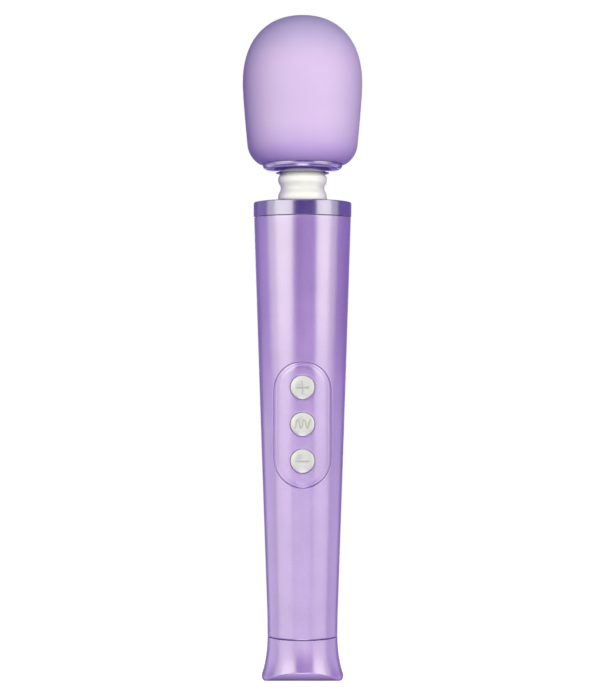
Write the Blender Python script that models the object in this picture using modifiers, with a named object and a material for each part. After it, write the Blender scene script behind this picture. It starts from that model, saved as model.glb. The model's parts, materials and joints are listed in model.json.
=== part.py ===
"""A rechargeable handheld wand massager, 254 mm long, standing on its tail.

The Z axis runs up the middle of the wand from the tail at z = 0 to the head, and the buttons face -Y.
Every piece is its own object. Lengths are in metres.
"""

import math

import bmesh
import bpy
from mathutils import Matrix, Vector

MM = 0.001

# Driving dimensions
LENGTH = 254.0 * MM
GAP = 0.3 * MM  # clearance between pieces that touch

TAIL_TOP = 16.6 * MM
TAIL_RADIUS = 13.46 * MM
FLARE_RADIUS = 15.7 * MM
FLARE_FROM = 1.8 * MM  # the flare is widest at this height
LAND = 4.0 * MM  # half-depth of the flat that the wand stands on
ARCH_RISE = 5.0 * MM  # height of the arched underside at its front and back edges
ARCH_POWER = 1.3

BARREL_BOTTOM = 17.0 * MM
BARREL_TOP = 176.6 * MM
BARREL_WALL = 2.0 * MM
BARREL_FOOT_RADIUS = 13.43 * MM
BARREL_STRAIGHT_TO = 18.0 * MM  # the foot of the barrel is a cylinder up to here
BARREL_BLEND = 10.0 * MM  # and over this height it opens into a long slim cone
BARREL_TAPER = 0.0358
BARREL_EASING = 0.0144  # how much the taper slackens with each metre up, so the cone is faintly convex
BARREL_RINGS = (78.0 * MM, 128.0 * MM)  # the heights up the cone where its slope is set anew

RING_BOTTOM = 176.9 * MM
RING_TOP = 182.6 * MM
RING_RADIUS = 18.85 * MM

PIVOT = Vector((0, 0, 188.0 * MM))  # where the neck bends
BELLOWS_BORE = 6.9 * MM
CUFF_RADIUS = 8.0 * MM
BULGE_RADIUS = 9.35 * MM
BULGE_PEAK = 3.8 * MM  # from the waist up or down to where a bulge is fullest
BULGE_FALL = 2.4 * MM  # and on from there to the straight cuff
WAIST_RADIUS = 8.3 * MM
LEAD_BORE = 2.4 * MM

HEAD_WIDEST = 227.6 * MM
HEAD_RADIUS = 22.9 * MM
HEAD_FOOT_RADIUS = 21.1 * MM
HEAD_FOOT = 204.7 * MM
HEAD_BOTTOM = 197.0 * MM
CORNER_WIDTH = 6.0 * MM  # the rounded corner between the head's side and its underside
CORNER_POWER = 1.7
DOME_POWER = 2.3
COVER_WALL = 3.0 * MM
SHELL_WALL = 2.0 * MM
COLLAR_RADIUS = 15.5 * MM

MOTOR_RADIUS = 12.2 * MM
MOTOR_BOTTOM = 205.4 * MM
MOTOR_TOP = 232.5 * MM
CORE = (211.0 * MM, 228.0 * MM)  # the heights between which the magnets and the armature sit
SHAFT_RADIUS = 1.15 * MM

PANEL_CENTRE = 98.0 * MM
BUTTON_CENTRE = 98.3 * MM  # height of the middle key
PANEL_WIDTH = 21.8 * MM
PANEL_HEIGHT = 48.1 * MM
PANEL_PROUD = 0.25 * MM
PANEL_POCKET = 1.2 * MM
BUTTON_PITCH = 13.85 * MM
BUTTON_RADIUS = 4.55 * MM
BUTTON_PROUD = 0.9 * MM
BUTTONS = {"plus": 1, "mode": 0, "minus": -1}

BOARD_FRONT = -5.0 * MM
BOARD_THICKNESS = 1.2 * MM
BOARD_WIDTH = 17.0 * MM
BOARD_BOTTOM = 80.0 * MM
BOARD_TOP = 131.0 * MM

CELL_RADIUS = 9.1 * MM
CELL_BOTTOM = 26.4 * MM
CELL_HEIGHT = 49.5 * MM
LEAD_RADIUS = 0.45 * MM

FINE, MEDIUM, COARSE = 36, 24, 16  # sides of the round pieces

# Finishes: colour, roughness, metallic
SILICONE = ((0.66, 0.50, 0.80), 0.62, 0.0)
WHITE_SILICONE = ((0.86, 0.86, 0.83), 0.5, 0.0)
SATIN_LILAC = ((0.50, 0.33, 0.72), 0.32, 0.35)
VIOLET_METAL = ((0.36, 0.22, 0.60), 0.25, 0.9)
PEARL = ((0.80, 0.80, 0.76), 0.3, 0.2)
DARK_PLASTIC = ((0.05, 0.05, 0.06), 0.5, 0.0)
GREY_PLASTIC = ((0.55, 0.55, 0.56), 0.5, 0.0)
STEEL = ((0.62, 0.62, 0.64), 0.3, 1.0)
BRASS = ((0.72, 0.52, 0.22), 0.3, 1.0)
NICKEL = ((0.70, 0.68, 0.62), 0.3, 1.0)
CIRCUIT_BOARD = ((0.03, 0.18, 0.08), 0.45, 0.0)
BLACK_RUBBER = ((0.03, 0.03, 0.03), 0.7, 0.0)
CELL_WRAP = ((0.10, 0.25, 0.55), 0.4, 0.0)
RED_WIRE = ((0.55, 0.03, 0.03), 0.45, 0.0)
BLACK_WIRE = ((0.02, 0.02, 0.02), 0.45, 0.0)


# Scene and helpers


def new_collection(name):
    collection = bpy.data.collections.new(name)
    bpy.context.scene.collection.children.link(collection)
    return collection


for old in list(bpy.data.objects):
    bpy.data.objects.remove(old, do_unlink=True)
PARTS = new_collection("wand_massager")
CUTTERS = new_collection("cutters")
CUTTERS.hide_render = True


def finished(obj, finish):
    """Puts the piece in the parts collection with a material of its own."""
    colour, roughness, metallic = finish
    material = bpy.data.materials.new(obj.name)
    material.use_nodes = True
    shader = material.node_tree.nodes["Principled BSDF"]
    shader.inputs["Base Color"].default_value = (*colour, 1)
    shader.inputs["Roughness"].default_value = roughness
    shader.inputs["Metallic"].default_value = metallic
    obj.data.materials.append(material)
    PARTS.objects.link(obj)
    return obj


def hidden(obj):
    """Makes the object a cutter, which isn't a piece of the wand."""
    obj.hide_render = True
    obj.display_type = "WIRE"
    CUTTERS.objects.link(obj)
    return obj


def placed(obj, finish):
    return finished(obj, finish) if finish else hidden(obj)


def mesh_object(name, bm, finish):
    mesh = bpy.data.meshes.new(name)
    bm.to_mesh(mesh)
    bm.free()
    return placed(bpy.data.objects.new(name, mesh), finish)


def turned(name, outline, finish=None, steps=MEDIUM, closed=False, facing=0.0):
    """A solid of revolution about Z: the outline's (radius, height) points run down its outer side."""
    bm = bmesh.new()
    points = [bm.verts.new((radius, 0, height)) for radius, height in outline]
    for a, b in zip(points, points[1:]):
        bm.edges.new((a, b))
    if closed:
        bm.edges.new((points[-1], points[0]))
    obj = mesh_object(name, bm, finish)
    obj.rotation_euler.x = facing
    screw = obj.modifiers.new("Turn", "SCREW")
    screw.steps = screw.render_steps = steps
    screw.use_merge_vertices = True
    screw.merge_threshold = 0.00001
    return obj


def block(name, size, centre, finish=None):
    """A box with its scale applied."""
    bm = bmesh.new()
    bmesh.ops.create_cube(bm, size=1.0)
    bmesh.ops.scale(bm, vec=size, verts=bm.verts)
    obj = mesh_object(name, bm, finish)
    obj.location = centre
    return obj


def rod(name, radius, length, centre, finish=None, along="Z", sides=COARSE):
    """A cylinder centred on a point, along X, Y or Z, with flats and not corners at its sides."""
    bm = bmesh.new()
    bmesh.ops.create_cone(
        bm, cap_ends=True, segments=sides, radius1=radius, radius2=radius, depth=length
    )
    bmesh.ops.rotate(bm, matrix=Matrix.Rotation(math.pi / sides, 3, "Z"), verts=bm.verts)
    if along != "Z":
        axis = "Y" if along == "X" else "X"
        bmesh.ops.rotate(bm, matrix=Matrix.Rotation(math.pi / 2, 3, axis), verts=bm.verts)
    obj = mesh_object(name, bm, finish)
    obj.location = centre
    return obj


def slab(name, outline, thickness, finish=None):
    """A flat outline in XY given a thickness along Z, centred on z = 0, as a mesh."""
    curve = bpy.data.curves.new(name, "CURVE")
    curve.dimensions = "2D"
    curve.fill_mode = "BOTH"
    curve.extrude = thickness / 2
    spline = curve.splines.new("POLY")
    spline.points.add(len(outline) - 1)
    for point, (x, y) in zip(spline.points, outline):
        point.co = (x, y, 0, 1)
    spline.use_cyclic_u = True
    drawn = bpy.data.objects.new(name + "_outline", curve)
    bpy.context.scene.collection.objects.link(drawn)
    bpy.context.view_layer.update()
    mesh = bpy.data.meshes.new_from_object(drawn.evaluated_get(bpy.context.evaluated_depsgraph_get()))
    bpy.data.objects.remove(drawn)
    bm = bmesh.new()
    bm.from_mesh(mesh)
    bmesh.ops.remove_doubles(bm, verts=bm.verts, dist=0.000001)
    bmesh.ops.recalc_face_normals(bm, faces=bm.faces)
    return mesh_object(name, bm, finish)


def boolean(obj, operation, other):
    modifier = obj.modifiers.new(operation.title(), "BOOLEAN")
    modifier.operation = operation
    modifier.object = other


def cut(obj, *cutters):
    for cutter in cutters:
        boolean(obj, "DIFFERENCE", cutter)


def joined(obj, *others):
    for other in others:
        boolean(obj, "UNION", other)


def arc(radius, start, end, count, centre=(0, 0)):
    """Points along an arc, from one angle to another in degrees."""
    angles = (math.radians(start + (end - start) * i / (count - 1)) for i in range(count))
    return [(centre[0] + radius * math.cos(a), centre[1] + radius * math.sin(a)) for a in angles]


def smooth_route(points, per_span=6):
    """Points along a Catmull-Rom curve through the route's own points."""
    route = [Vector(p) * MM for p in points]
    ends = [2 * route[0] - route[1], *route, 2 * route[-1] - route[-2]]
    found = []
    for a, b, c, d in zip(ends, ends[1:], ends[2:], ends[3:]):
        for i in range(per_span):
            t = i / per_span
            found.append(
                0.5 * (2 * b + (c - a) * t + (2 * a - 5 * b + 4 * c - d) * t**2)
                + 0.5 * (3 * b - a - 3 * c + d) * t**3
            )
    return [*found, route[-1]]


def wire(name, points, radius, finish, resolution=1):
    """A round wire along the given points, as a curve with closed ends."""
    curve = bpy.data.curves.new(name, "CURVE")
    curve.dimensions = "3D"
    curve.bevel_depth = radius
    curve.bevel_resolution = resolution
    curve.use_fill_caps = True
    spline = curve.splines.new("POLY")
    spline.points.add(len(points) - 1)
    for place, point in zip(spline.points, points):
        place.co = (*point, 1)
    return finished(bpy.data.objects.new(name, curve), finish)


def screw(name, head, shank, centre, finish, along="Z", towards=1):
    """A pan-head screw: (radius, length) of its head and of its shank, which points towards +1 or -1."""
    axis = Vector((0, 0, 1)) if along == "Z" else Vector((0, 1, 0))
    seat = Vector(centre)
    obj = rod(name, head[0], head[1], seat - axis * towards * head[1] / 2, finish, along)
    overlap = head[1] / 2
    middle = seat + axis * towards * (shank[1] - overlap) / 2
    joined(obj, rod(name + "_shank", shank[0], shank[1] + overlap, middle, None, along, 12))
    return obj


def hang_on(pivot, *pieces):
    """Parents the pieces to an empty on their joint, leaving them where they are."""
    for piece in pieces:
        piece.parent = pivot
        piece.location = piece.location - pivot.location


def empty_at(name, place):
    empty = bpy.data.objects.new(name, None)
    empty.empty_display_size = 0.01
    empty.location = place
    PARTS.objects.link(empty)
    return empty


def shade_round():
    """Smooth shading on every mesh, with its sharper edges kept."""
    for obj in PARTS.objects:
        if obj.type == "MESH":
            obj.data.shade_smooth()
            obj.data.set_sharp_from_angle(angle=math.radians(35))


# Shapes that several pieces follow


def barrel_radius(height):
    """The barrel's outer radius at a height."""
    rise = max(0.0, height - BARREL_STRAIGHT_TO)
    run = rise * rise / (2 * BARREL_BLEND) if rise < BARREL_BLEND else rise - BARREL_BLEND / 2
    return BARREL_FOOT_RADIUS + (BARREL_TAPER - BARREL_EASING * run) * run


def dome(inset, count):
    """Points from the crown down to the widest height, closer together where the dome curves most."""
    top = LENGTH - HEAD_WIDEST - inset
    points = [(0.0, HEAD_WIDEST + top)]
    for i in range(1, count + 1):
        angle = math.pi / 2 * (1 - i / count)
        radius = (HEAD_RADIUS - inset) * math.cos(angle) ** (2 / DOME_POWER)
        points.append((radius, HEAD_WIDEST + top * math.sin(angle) ** (2 / DOME_POWER)))
    return points


def skirt(inset, bottom, count):
    """Points from just under the widest height down the head's gentle taper."""
    points = []
    for i in range(1, count + 1):
        height = HEAD_WIDEST + (bottom - HEAD_WIDEST) * i / count
        share = (HEAD_WIDEST - height) / (HEAD_WIDEST - HEAD_FOOT)
        narrowing = (HEAD_RADIUS - HEAD_FOOT_RADIUS) * share ** 1.3
        points.append((HEAD_RADIUS - inset - narrowing, height))
    return points


def head_corner(count):
    """Points round the corner from the skirt's foot in to the underside."""
    points = []
    for i in range(1, count):
        angle = math.pi / 2 * i / count
        inward = 1 - math.cos(angle) ** (2 / CORNER_POWER)
        drop = math.sin(angle) ** (2 / CORNER_POWER)
        height = HEAD_FOOT - (HEAD_FOOT - HEAD_BOTTOM) * drop
        points.append((HEAD_FOOT_RADIUS - CORNER_WIDTH * inward, height))
    return points


def stadium(width, height, count=8):
    """The pill-shaped outline of the control panel."""
    radius = width / 2
    reach = height / 2 - radius
    return arc(radius, 0, 180, count, (0, reach)) + arc(radius, 180, 360, count, (0, -reach))


def front_prism(name, outline, height):
    """A cutter with this outline seen from the front, through the front half of the handle."""
    prism = slab(name, outline, 24 * MM)
    prism.rotation_euler.x = math.pi / 2
    prism.location = (0, -18 * MM, height)
    return prism


def button_height(place):
    return BUTTON_CENTRE + BUTTON_PITCH * place


# Tail


def tail_cap():
    flare = [(FLARE_RADIUS - 0.9 * MM, -0.2 * MM), (FLARE_RADIUS - 0.25 * MM, 0.7 * MM)]
    steps = 5
    for i in range(steps + 1):
        share = i / steps
        height = FLARE_FROM + (TAIL_TOP - FLARE_FROM) * share
        flare.append((TAIL_RADIUS + (FLARE_RADIUS - TAIL_RADIUS) * (1 - share) ** 2.2, height))
    spigot, groove = 10.8 * MM, 9.8 * MM
    outline = [
        (8.8 * MM, 23.5 * MM),
        (spigot, 23.5 * MM),
        (spigot, 21.0 * MM),
        (groove, 21.0 * MM),
        (groove, 19.4 * MM),
        (spigot, 19.4 * MM),
        (spigot, TAIL_TOP),
        *reversed(flare),
        (FLARE_RADIUS - 0.9 * MM, -2 * MM),
        (3.7 * MM, -2 * MM),
        (3.7 * MM, 2.6 * MM),
        (9.2 * MM, 2.6 * MM),
        (9.2 * MM, 13.0 * MM),
        (8.8 * MM, 14.0 * MM),
    ]
    cap = turned("tail_cap", outline, SATIN_LILAC, FINE, closed=True)
    cut(cap, underside_cutter())
    for side in (-1, 1):
        post = block(f"board_post_{side}", (3 * MM, 4.4 * MM, 12 * MM), (side * 7.9 * MM, 0, 8.1 * MM))
        joined(cap, post)
    for side in (-1, 1):
        cut(cap, rod(f"post_hole_{side}", 0.9 * MM, 6 * MM, (side * 6.9 * MM, 0, 12.5 * MM), sides=12))
    return cap


def underside_cutter():
    """What the underside leaves off: level in the middle, arching up to the front and back edges."""
    steps = 6
    half = []
    for i in range(steps + 1):
        reach = LAND + (18 * MM - LAND) * i / steps
        rise = ARCH_RISE * ((reach - LAND) / (FLARE_RADIUS - LAND)) ** ARCH_POWER
        half.append((reach, rise))
    outline = [(-y, z) for y, z in reversed(half)] + half + [(18 * MM, -6 * MM), (-18 * MM, -6 * MM)]
    cutter = slab("underside", outline, 40 * MM)
    cutter.matrix_world = Matrix(((0, 0, 1, 0), (1, 0, 0, 0), (0, 1, 0, 0), (0, 0, 0, 1)))
    return cutter


def tail_seal():
    section = arc(0.5 * MM, 360, 60, 6, (10.5 * MM, 20.2 * MM))
    turned("tail_seal", section, BLACK_RUBBER, MEDIUM, closed=True)


def charging():
    body, bore = 3.4 * MM, 1.75 * MM
    outline = [(0, 10.5 * MM), (bore, 10.5 * MM), (bore, 0.5 * MM), (body, 0.5 * MM)]
    outline += [(body, 14.0 * MM), (0, 14.0 * MM)]
    turned("charge_jack", list(reversed(outline)), DARK_PLASTIC, COARSE)
    rod("charge_jack_pin", 0.65 * MM, 8.0 * MM, (0, 0, 6.2 * MM), NICKEL, sides=12)
    board = rod("charge_board", 8.3 * MM, 1.0 * MM, (0, 0, 14.9 * MM), CIRCUIT_BOARD, sides=MEDIUM)
    for number, side in enumerate((-1, 1), 1):
        seat = (side * 6.9 * MM, 0, 15.7 * MM)
        cut(board, rod(f"charge_board_hole_{number}", 0.9 * MM, 4 * MM, seat, sides=12))
        screw(f"charge_board_screw_{number}", (1.4 * MM, 1 * MM), (0.6 * MM, 5 * MM), seat, STEEL, "Z", -1)


# Barrel, shoulder ring and control panel


def barrel_wall(name, outward, inward, bottom, top, finish=None):
    """A ring that follows the barrel, from one distance outside its surface to one inside it."""
    heights = [bottom, (bottom + top) / 2, top]
    outer = [(barrel_radius(h) + outward, h) for h in reversed(heights)]
    inner = [(barrel_radius(h) - inward, h) for h in heights]
    return turned(name, outer + inner, finish, FINE, closed=True)


def panel_shape(name, outward, inward, shrink, finish=None):
    """The pill-shaped piece of the barrel's surface that the control panel fills."""
    bottom, top = PANEL_CENTRE - 32 * MM, PANEL_CENTRE + 32 * MM
    shape = barrel_wall(name, outward, inward, bottom, top, finish)
    outline = stadium(PANEL_WIDTH - shrink, PANEL_HEIGHT - shrink)
    boolean(shape, "INTERSECT", front_prism(name + "_edge", outline, PANEL_CENTRE))
    return shape


def barrel():
    wall = turned_barrel()
    pocket = panel_shape("panel_pocket", 3 * MM, PANEL_POCKET, 0.0)
    cut(wall, pocket)
    panel = panel_shape("control_panel", PANEL_PROUD, PANEL_POCKET - GAP, 2 * GAP, SATIN_LILAC)
    for name, place in BUTTONS.items():
        centre = (0, -14 * MM, button_height(place))
        hole = rod(f"button_hole_{name}", BUTTON_RADIUS + GAP, 14 * MM, centre, None, "Y", MEDIUM)
        cut(wall, hole)
        cut(panel, hole)


def turned_barrel():
    blend = [BARREL_STRAIGHT_TO + BARREL_BLEND * share for share in (0.3, 0.6, 1.0)]
    heights = [BARREL_BOTTOM, *blend, *BARREL_RINGS, BARREL_TOP]
    outer = [(barrel_radius(h), h) for h in reversed(heights)]
    inner = [(barrel_radius(h) - BARREL_WALL, h) for h in heights]
    return turned("barrel", outer + inner, SATIN_LILAC, FINE, closed=True)


def shoulder_ring():
    edge = 0.5 * MM
    outline = [
        (RING_RADIUS - edge, RING_TOP),
        (RING_RADIUS, RING_TOP - edge),
        (RING_RADIUS, RING_BOTTOM),
        (16.1 * MM, RING_BOTTOM),
        (16.1 * MM, RING_TOP),
    ]
    turned("shoulder_ring", outline, VIOLET_METAL, FINE, closed=True)


# Buttons, keypad and switches


def button(name, place):
    """A domed key on its own slide, with a flange that keeps it behind the barrel wall."""
    height = button_height(place)
    surface = barrel_radius(height)
    flange_back = surface - 4.6 * MM
    flange_front = surface - 3.7 * MM
    rim = surface + PANEL_PROUD + BUTTON_PROUD - 0.6 * MM
    outline = [
        (0, rim + 0.6 * MM),
        (2.0 * MM, rim + 0.5 * MM),
        (3.6 * MM, rim + 0.22 * MM),
        (BUTTON_RADIUS - 0.3 * MM, rim),
        (BUTTON_RADIUS, rim - 0.4 * MM),
        (BUTTON_RADIUS, flange_front),
        (5.3 * MM, flange_front),
        (5.3 * MM, flange_back),
        (2.0 * MM, flange_back),
        (2.0 * MM, 10.1 * MM),
        (0, 10.1 * MM),
    ]
    key = turned(f"button_{name}", outline, PEARL, 20, facing=math.pi / 2)
    key.location = (0, 0, height)


def tact_switch(name, place):
    height = button_height(place)
    size = (4.5 * MM, 1.7 * MM, 4.5 * MM)
    body = block(f"tact_switch_{name}", size, (0, -6.15 * MM, height), DARK_PLASTIC)
    joined(body, rod(f"actuator_{name}", 1.2 * MM, 2.0 * MM, (0, -7.5 * MM, height), None, "Y", 16))


def controls():
    for name, place in BUTTONS.items():
        button(name, place)
        tact_switch(name, place)
    mat = slab("keypad_mat", stadium(16 * MM, 38.5 * MM), 1.0 * MM, BLACK_RUBBER)
    mat.rotation_euler.x = math.pi / 2
    mat.location = (0, -9.3 * MM, BUTTON_CENTRE)


# Main board and inner frame


def board_screw_places():
    return [(-6.0 * MM, 82.0 * MM), (6.0 * MM, 128.5 * MM)]


def main_board():
    centre = (0, BOARD_FRONT + BOARD_THICKNESS / 2, (BOARD_BOTTOM + BOARD_TOP) / 2)
    size = (BOARD_WIDTH, BOARD_THICKNESS, BOARD_TOP - BOARD_BOTTOM)
    board = block("main_board", size, centre, CIRCUIT_BOARD)
    for number, (x, z) in enumerate(board_screw_places(), 1):
        cut(board, rod(f"board_hole_{number}", 1.2 * MM, 6 * MM, (x, BOARD_FRONT, z), None, "Y", 12))
        seat = (x, BOARD_FRONT - GAP, z)
        screw(f"board_screw_{number}", (1.7 * MM, 1.2 * MM), (0.9 * MM, 3 * MM), seat, STEEL, "Y")
    on_board("control_chip", (5.0, 1.0, 5.0), 4.0, 121.5, DARK_PLASTIC)
    on_board("charge_chip", (3.4, 1.0, 3.4), -4.4, 121.0, DARK_PLASTIC)
    on_board("inductor", (3.8, 2.2, 3.8), -4.6, 126.8, GREY_PLASTIC)
    on_board("status_light", (1.6, 0.8, 1.6), 6.6, 98.3, PEARL)
    on_board("battery_connector", (5.0, 3.0, 3.2), 5.4, 82.4, PEARL)
    on_board("motor_connector", (5.0, 3.0, 3.2), 0.4, 129.0, PEARL)


def on_board(name, size, x, z, finish):
    """A component on the front of the main board, its size and place in millimetres."""
    depth = size[1] * MM
    centre = (x * MM, BOARD_FRONT - GAP - depth / 2, z * MM)
    block(name, [side * MM for side in size], centre, finish)


def inner_frame():
    """The tray that carries the main board and hangs from the neck socket."""
    top, bottom = 175.7 * MM, BOARD_BOTTOM
    middle = (top + bottom) / 2
    plate = (19.4 * MM, 1.8 * MM, top - bottom)
    frame = block("inner_frame", plate, (0, -2.6 * MM, middle), GREY_PLASTIC)
    for side in (-1, 1):
        rail = (1.6 * MM, 9.4 * MM, top - bottom - 1 * MM)
        joined(frame, block(f"frame_rail_{side}", rail, (side * 9.4 * MM, 1.2 * MM, middle)))
    joined(frame, rod("frame_flange", 13.1 * MM, 2 * MM, (0, 0, top - 1 * MM), sides=MEDIUM))
    window = (10 * MM, 6 * MM, 24 * MM)
    cut(frame, block("frame_window", window, (0, -3 * MM, 153 * MM)))
    cut(frame, rod("frame_lead_hole", 3.4 * MM, 12 * MM, (0, 0, top)))
    for number, (x, z) in enumerate(board_screw_places(), 1):
        cut(frame, rod(f"frame_hole_{number}", 1.2 * MM, 6 * MM, (x, -2.6 * MM, z), None, "Y", 12))
    for number, y in enumerate((-10.9 * MM, 10.9 * MM), 1):
        seat = (0, y, top - 2 * MM - GAP)
        cut(frame, rod(f"frame_screw_hole_{number}", 1.3 * MM, 8 * MM, seat, sides=12))
        screw(f"frame_screw_{number}", (1.9 * MM, 1.4 * MM), (1.0 * MM, 6 * MM), seat, STEEL)


# Battery


def battery():
    middle = (0, 0, CELL_BOTTOM + CELL_HEIGHT / 2)
    rod("battery_cell", CELL_RADIUS, CELL_HEIGHT, middle, CELL_WRAP, sides=MEDIUM)
    outline = [
        (10.6 * MM, 76.5 * MM),
        (10.6 * MM, 24.6 * MM),
        (6.0 * MM, 24.6 * MM),
        (6.0 * MM, 25.6 * MM),
        (9.5 * MM, 25.6 * MM),
        (9.5 * MM, 76.5 * MM),
    ]
    cradle = turned("battery_cradle", outline, GREY_PLASTIC, MEDIUM, closed=True)
    cut(cradle, block("front_slot", (3.4 * MM, 5 * MM, 60 * MM), (0, -10.2 * MM, 50 * MM)))
    cut(cradle, block("back_slot", (2.8 * MM, 4 * MM, 60 * MM), (0, 10.6 * MM, 55.5 * MM)))
    top = CELL_BOTTOM + CELL_HEIGHT
    block("battery_top_tab", (7 * MM, 4 * MM, 0.2 * MM), (0, 0, top + 0.4 * MM), NICKEL)
    strip = (2.0 * MM, 12.4 * MM, 0.2 * MM)
    block("battery_bottom_tab", strip, (0, 4.2 * MM, CELL_BOTTOM - 0.4 * MM), NICKEL)


def handle_leads():
    plus = [(4.6, -6.8, 80.4), (4.3, -6.5, 79.2), (3.4, -4.6, 78.0), (2.2, -2.0, 77.2)]
    wire("battery_lead_red", smooth_route(plus, 3), LEAD_RADIUS, RED_WIRE)
    minus = [(6.2, -6.8, 80.4), (7.4, -5.2, 78.8), (8.4, 0.0, 77.9), (6.2, 6.0, 77.8), (1.8, 9.2, 77.4)]
    minus += [(0.0, 10.2, 74.0), (0.0, 10.2, 50.0), (0.0, 10.2, 27.0)]
    wire("battery_lead_black", smooth_route(minus, 3), LEAD_RADIUS, BLACK_WIRE)
    for side, name, finish in ((-1, "red", RED_WIRE), (1, "black", BLACK_WIRE)):
        x = side * 0.8
        charge = [(x, -6.6, 15.9), (x, -6.9, 19.0), (x, -7.4, 22.6), (x, -9.8, 26.2), (x, -10.2, 30.0)]
        charge += [(x, -10.2, 70.0), (x, -10.0, 77.2), (x - 2.4, -7.4, 79.2), (x - 2.4, -5.9, 81.3)]
        wire(f"charge_lead_{name}", smooth_route(charge, 3), LEAD_RADIUS, finish)


def motor_leads():
    """Two leads from the main board, up through the neck to the motor's terminals."""
    for side, name, finish in ((1, "red", RED_WIRE), (-1, "black", BLACK_WIRE)):
        route = [(side * 1.2 + 0.4, -6.8, 131.1), (side * 1.3, -6.6, 138.0), (side * 1.3, -4.4, 148.0)]
        route += [(side * 1.2, -1.2, 158.0), (side * 1.0, 0.0, 168.0), (side * 1.0, 0.0, 178.0)]
        route += [(side * 1.0, 0.0, 188.0), (side * 1.0, 0.0, 199.0), (side * 1.2, 0.0, 202.0)]
        route += [(side * 2.3, 0.0, 203.8), (side * 3.8, 0.0, 204.2)]
        wire(f"motor_lead_{name}", smooth_route(route, 3), LEAD_RADIUS, finish)


# Neck


def neck_socket():
    """The plug that closes the barrel's top and holds the foot of the neck."""
    outline = [
        (15.8 * MM, 182.3 * MM),
        (15.8 * MM, 170.0 * MM),
        (13.5 * MM, 170.0 * MM),
        (13.5 * MM, 176.0 * MM),
        (LEAD_BORE, 176.0 * MM),
        (LEAD_BORE, 185.6 * MM),
        (4.1 * MM, 185.6 * MM),
        (4.1 * MM, 183.6 * MM),
        (6.6 * MM, 183.6 * MM),
        (6.6 * MM, 179.9 * MM),
        (9.3 * MM, 179.9 * MM),
        (9.3 * MM, 182.3 * MM),
    ]
    socket = turned("neck_socket", outline, SATIN_LILAC, MEDIUM, closed=True)
    for number, y in enumerate((-10.9 * MM, 10.9 * MM), 1):
        cut(socket, rod(f"socket_hole_{number}", 1.3 * MM, 8 * MM, (0, y, 176 * MM), sides=12))


def neck_spring():
    """A coil whose helix is worked out turn by turn."""
    turns, per_turn = 5, 12
    bottom, top, radius = 184.6 * MM, 191.4 * MM, 5.2 * MM
    points = []
    for i in range(turns * per_turn + 1):
        share = i / (turns * per_turn)
        angle = 2 * math.pi * turns * share
        height = bottom + (top - bottom) * share
        points.append((radius * math.cos(angle), radius * math.sin(angle), height))
    wire("neck_spring", points, 0.5 * MM, STEEL)


def bellows_radius(height):
    """Two full bulges that meet at the waist, with straight cuffs beyond them."""
    offset = abs(height - PIVOT.z)
    if offset < BULGE_PEAK:
        share = offset / BULGE_PEAK
        return BULGE_RADIUS - (BULGE_RADIUS - WAIST_RADIUS) * (1 - share * share) ** 4.2
    fall = min((offset - BULGE_PEAK) / BULGE_FALL, 1.0)
    return BULGE_RADIUS - (BULGE_RADIUS - CUFF_RADIUS) * (1 - math.cos(math.pi * fall)) / 2


def neck_bellows():
    bottom, top, count, reach = 180.2 * MM, 199.5 * MM, 14, BULGE_PEAK + BULGE_FALL
    outer_heights = [top] + [PIVOT.z + reach * (1 - 2 * i / count) for i in range(count + 1)] + [bottom]
    outline = [(bellows_radius(h), h) for h in outer_heights]
    outline += [(BELLOWS_BORE, h) for h in (bottom, PIVOT.z, top)]
    turned("neck_bellows", outline, WHITE_SILICONE, MEDIUM, closed=True)


# Head


def head_cover():
    lip = COLLAR_RADIUS + GAP
    outline = dome(0.0, 7) + skirt(0.0, HEAD_FOOT, 2) + head_corner(5)
    outline += [(lip, HEAD_BOTTOM), (lip, 199.4 * MM), (16.7 * MM, 199.4 * MM), (17.7 * MM, 202.4 * MM)]
    inner = dome(COVER_WALL, 5) + skirt(COVER_WALL, HEAD_FOOT, 1)
    outline += list(reversed(inner))
    return turned("head_cover", outline, SILICONE, FINE)


def head_shell():
    outer_inset, inner_inset = COVER_WALL + GAP, COVER_WALL + GAP + SHELL_WALL
    outline = dome(outer_inset, 5) + skirt(outer_inset, HEAD_FOOT, 1)
    outline += [(17.35 * MM, 202.5 * MM), (16.4 * MM, 199.8 * MM), (15.8 * MM, 199.8 * MM)]
    outline += list(reversed(dome(inner_inset, 5) + skirt(inner_inset, HEAD_FOOT, 1)))
    return turned("head_shell", outline, GREY_PLASTIC, MEDIUM)


def head_base():
    outline = [
        (15.4 * MM, 202.8 * MM),
        (15.4 * MM, 199.8 * MM),
        (6.6 * MM, 199.8 * MM),
        (6.6 * MM, 192.4 * MM),
        (4.1 * MM, 192.4 * MM),
        (4.1 * MM, 190.4 * MM),
        (LEAD_BORE, 190.4 * MM),
        (LEAD_BORE, 202.8 * MM),
    ]
    return turned("head_base", outline, GREY_PLASTIC, MEDIUM, closed=True)


def head_collar():
    outline = [
        (COLLAR_RADIUS, 199.5 * MM),
        (COLLAR_RADIUS, 196.5 * MM),
        (15.2 * MM, 195.7 * MM),
        (14.3 * MM, 194.8 * MM),
        (13.1 * MM, 194.1 * MM),
        (12.0 * MM, 193.8 * MM),
        (10.9 * MM, 193.8 * MM),
        (10.3 * MM, 194.2 * MM),
        (10.3 * MM, 195.4 * MM),
        (13.1 * MM, 197.2 * MM),
        (13.6 * MM, 199.5 * MM),
    ]
    return turned("head_collar", outline, VIOLET_METAL, FINE, closed=True)


def motor_mount():
    outline = [
        (13.9 * MM, 221.0 * MM),
        (13.9 * MM, 206.0 * MM),
        (14.6 * MM, 206.0 * MM),
        (14.6 * MM, 203.1 * MM),
        (8.6 * MM, 203.1 * MM),
        (8.6 * MM, 205.1 * MM),
        (12.5 * MM, 205.1 * MM),
        (12.5 * MM, 221.0 * MM),
    ]
    return turned("motor_mount", outline, DARK_PLASTIC, MEDIUM, closed=True)


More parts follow.
